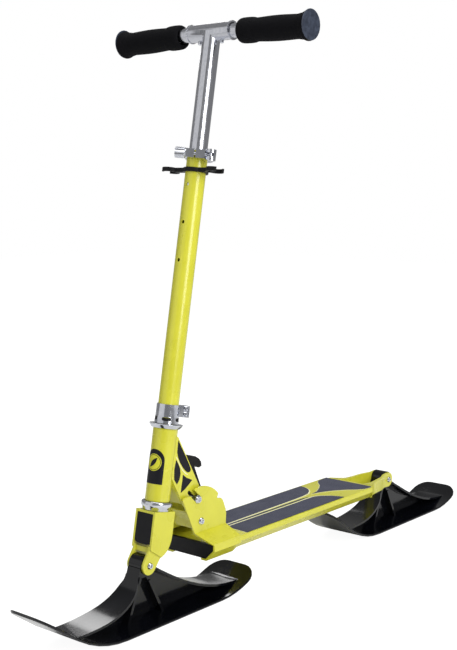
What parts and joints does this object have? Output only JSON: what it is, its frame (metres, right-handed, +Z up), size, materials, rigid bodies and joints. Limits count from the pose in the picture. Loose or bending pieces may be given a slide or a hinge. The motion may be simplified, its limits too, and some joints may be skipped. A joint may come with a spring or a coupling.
{
  "type": "snow scooter",
  "caption": "Folding kick scooter on two plastic skis: powder-coated steel frame, telescoping alloy T-bar, foam grips, hollow deck with anti-slip panels and a plate hinge with a release lever.",
  "frame": {"origin": "ground under the middle of the scooter's length, on its plane of symmetry", "axes": "-Y is forward, along the longest extent; +Z is up; +X is the rider's left"},
  "size_m": [0.3764, 1.122, 0.9013],
  "materials": {
    "paint": "gloss powder coat",
    "alloy": "polished",
    "zinc": "bright zinc plate",
    "steel": "plain",
    "gloss_black": "moulded, glossy",
    "matt_black": "moulded, matt",
    "foam": "closed-cell foam",
    "cap_grey": "moulded, satin",
    "anti_slip": "gritty anti-slip sheet",
    "nylon": "plain"
  },
  "bodies": {
    "deck": {"deck_platform": "paint", "grip_panel_left": "anti_slip", "grip_panel_right": "anti_slip", "grip_panel_rear": "anti_slip", "front_bumper": "matt_black", "rear_arm_left": "paint", "rear_arm_right": "paint", "hinge_plate_left": "paint", "hinge_plate_right": "paint", "pivot_bolt": "zinc", "pivot_nut": "zinc", "rear_axle_bolt": "zinc", "rear_axle_nut": "zinc"},
    "lock": {"lock_bolt": "zinc", "lock_nut": "zinc", "lock_bush_left": "steel", "lock_bush_right": "steel"},
    "rear_glide": {"rear_ski": "gloss_black", "rear_ski_bush": "nylon"},
    "head": {"head_tube": "paint", "gusset_left": "paint", "gusset_right": "paint", "pivot_sleeve": "steel", "upper_cup": "zinc", "lower_cup": "zinc", "upper_bearing": "steel", "lower_bearing": "steel"},
    "release": {"release_lever": "matt_black"},
    "steering": {"fork": "paint", "fork_plug": "matt_black", "crown_race": "steel", "headset_nut": "steel", "steering_tube": "paint", "lower_clamp": "zinc", "lower_clamp_bolt_upper": "zinc", "lower_clamp_bolt_lower": "zinc", "holder_clip": "matt_black", "upper_clamp": "zinc", "skewer": "zinc", "thumb_nut": "zinc", "front_axle_bolt": "zinc", "front_axle_nut": "zinc"},
    "quick_release": {"qr_lever": "zinc"},
    "front_glide": {"front_ski": "gloss_black", "front_ski_bush": "nylon"},
    "bar": {"t_bar": "alloy"},
    "height_catch": {"height_button": "zinc"},
    "catch_left": {"bar_button_left": "zinc"},
    "catch_right": {"bar_button_right": "zinc"},
    "half_left": {"bar_stub_left": "alloy", "grip_left": "foam", "end_cap_left": "cap_grey"},
    "half_right": {"bar_stub_right": "alloy", "grip_right": "foam", "end_cap_right": "cap_grey"}
  },
  "joints": [
    {"name": "fold", "type": "hinge", "parent": "deck", "child": "head", "pos_m": [0, -0.22571, 0.1321], "axis": [-1, 0, 0], "range_deg": [0, 72]},
    {"name": "lock_slide", "type": "slide", "parent": "deck", "child": "lock", "axis": [0, -0.7071, 0.7071], "range_m": [0, 0.01], "stiffness_N_per_m": 300, "springref_m": -0.01},
    {"name": "lever_slide", "type": "slide", "parent": "head", "child": "release", "axis": [0, -0.7071, 0.7071], "range_m": [0, 0.01]},
    {"name": "steer", "type": "hinge", "parent": "head", "child": "steering", "pos_m": [0, -0.32901, 0], "axis": [0, 0.1798, 0.9837], "range_deg": [-80, 80]},
    {"name": "rear_ski_pivot", "type": "hinge", "parent": "deck", "child": "rear_glide", "pos_m": [0, 0.33499, 0.0855], "axis": [1, 0, 0], "range_deg": [0, 12]},
    {"name": "front_ski_pivot", "type": "hinge", "parent": "steering", "child": "front_glide", "pos_m": [0, -0.33199, 0.0855], "axis": [1, 0, 0], "range_deg": [-12, 6]},
    {"name": "quick_release_lever", "type": "hinge", "parent": "steering", "child": "quick_release", "pos_m": [0.03146, -0.20736, 0.69577], "axis": [0, 0.1798, 0.9837], "range_deg": [-110, 0]},
    {"name": "bar_height", "type": "slide", "parent": "steering", "child": "bar", "axis": [0, 0.1798, 0.9837], "range_m": [-0.116, 0]},
    {"name": "height_catch_press", "type": "slide", "parent": "bar", "child": "height_catch", "axis": [0, 0.9837, -0.1798], "range_m": [0, 0.003], "stiffness_N_per_m": 300, "springref_m": -0.001},
    {"name": "catch_left_press", "type": "slide", "parent": "bar", "child": "catch_left", "axis": [0, 0.1798, 0.9837], "range_m": [0, 0.0012], "stiffness_N_per_m": 300, "springref_m": -0.001},
    {"name": "catch_right_press", "type": "slide", "parent": "bar", "child": "catch_right", "axis": [0, 0.1798, 0.9837], "range_m": [0, 0.0012], "stiffness_N_per_m": 300, "springref_m": -0.001},
    {"name": "half_left_pull", "type": "slide", "parent": "bar", "child": "half_left", "axis": [0.9997, -0.0045, -0.0249], "range_m": [0, 0.04]},
    {"name": "half_right_pull", "type": "slide", "parent": "bar", "child": "half_right", "axis": [-0.9997, -0.0045, -0.0249], "range_m": [0, 0.04]}
  ],
  "couplings": [
    {"joint": "lever_slide", "follows": "lock_slide", "ratio": 1}
  ]
}
